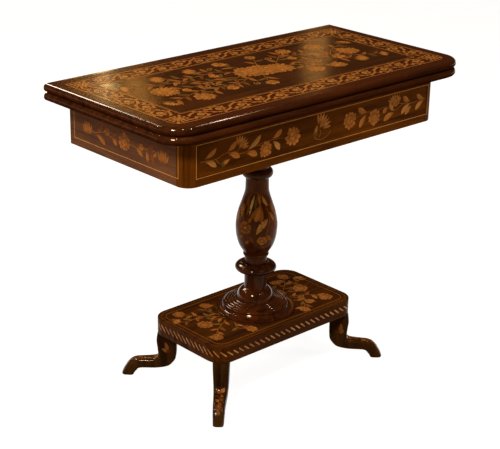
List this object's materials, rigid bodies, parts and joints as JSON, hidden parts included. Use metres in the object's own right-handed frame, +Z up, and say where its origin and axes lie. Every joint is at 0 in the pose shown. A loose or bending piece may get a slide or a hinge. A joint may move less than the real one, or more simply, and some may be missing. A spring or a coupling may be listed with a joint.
{
  "type": "card table",
  "caption": "Fold-over card table: a turning, folding half-round-edged top over a frieze box with a well, on a turned column, a platform and scroll feet.",
  "frame": {"origin": "on the floor, under the centre of the closed table's overall box", "axes": "+X along the long side, +Y from the front edge to the hinged back edge, +Z up"},
  "size_m": [0.904, 0.4554, 0.76],
  "materials": {
    "inlaid_wood": "mahogany ground with floral inlay in lighter woods, french polished",
    "mahogany": "dark mahogany, french polished",
    "dark_wood": "very dark turned mahogany, glossy polish",
    "pine": "unpolished, aged",
    "baize": "green baize, matt",
    "brass": "aged, satin",
    "iron": "dark, matt"
  },
  "bodies": {
    "base": {"frieze_front_rail": "inlaid_wood", "frieze_back_rail": "mahogany", "frieze_left_rail": "inlaid_wood", "frieze_right_rail": "inlaid_wood", "corner_post_left": "mahogany", "corner_post_right": "mahogany", "bottom_board": "pine", "pivot_board": "pine", "pivot_board_cleat_front": "pine", "pivot_board_cleat_back": "pine", "well_partition": "mahogany", "well_lining": "baize", "glue_block_front_left": "pine", "glue_block_back_left": "pine", "glue_block_front_right": "pine", "glue_block_back_right": "pine", "pedestal_cleat": "mahogany", "cleat_screw_1": "iron", "cleat_screw_2": "iron", "cleat_screw_3": "iron", "cleat_screw_4": "iron", "column_collar": "dark_wood", "column_vase": "inlaid_wood", "column_disc": "dark_wood", "column_base": "dark_wood", "tie_rod": "iron", "tie_rod_top_washer": "iron", "tie_rod_top_nut": "iron", "tie_rod_low_washer": "iron", "tie_rod_low_nut": "iron", "platform": "inlaid_wood", "foot_front_left": "mahogany", "foot_front_right": "mahogany", "foot_back_left": "mahogany", "foot_back_right": "mahogany", "foot_dowel_front_left": "mahogany", "foot_dowel_front_right": "mahogany", "foot_dowel_back_left": "mahogany", "foot_dowel_back_right": "mahogany"},
    "turning_top": {"lower_leaf": "inlaid_wood", "lower_baize": "baize", "hinge_left_lower_plate": "brass", "hinge_left_pin": "brass", "hinge_right_lower_plate": "brass", "hinge_right_pin": "brass", "swivel_plate": "iron", "pivot_bolt": "iron", "pivot_washer": "iron", "pivot_nut": "iron", "stop_peg": "brass"},
    "folding_leaf": {"upper_leaf": "inlaid_wood", "upper_baize": "baize", "hinge_left_upper_plate": "brass", "hinge_right_upper_plate": "brass"}
  },
  "joints": [
    {"name": "top_swivel", "type": "hinge", "parent": "base", "child": "turning_top", "pos_m": [0.1058, 0.1191, 0.7202], "axis": [0, 0, 1], "range_deg": [0, 90]},
    {"name": "leaf_fold", "type": "hinge", "parent": "turning_top", "child": "folding_leaf", "pos_m": [0, 0.2249, 0.7401], "axis": [-1, 0, 0], "range_deg": [0, 180]}
  ]
}
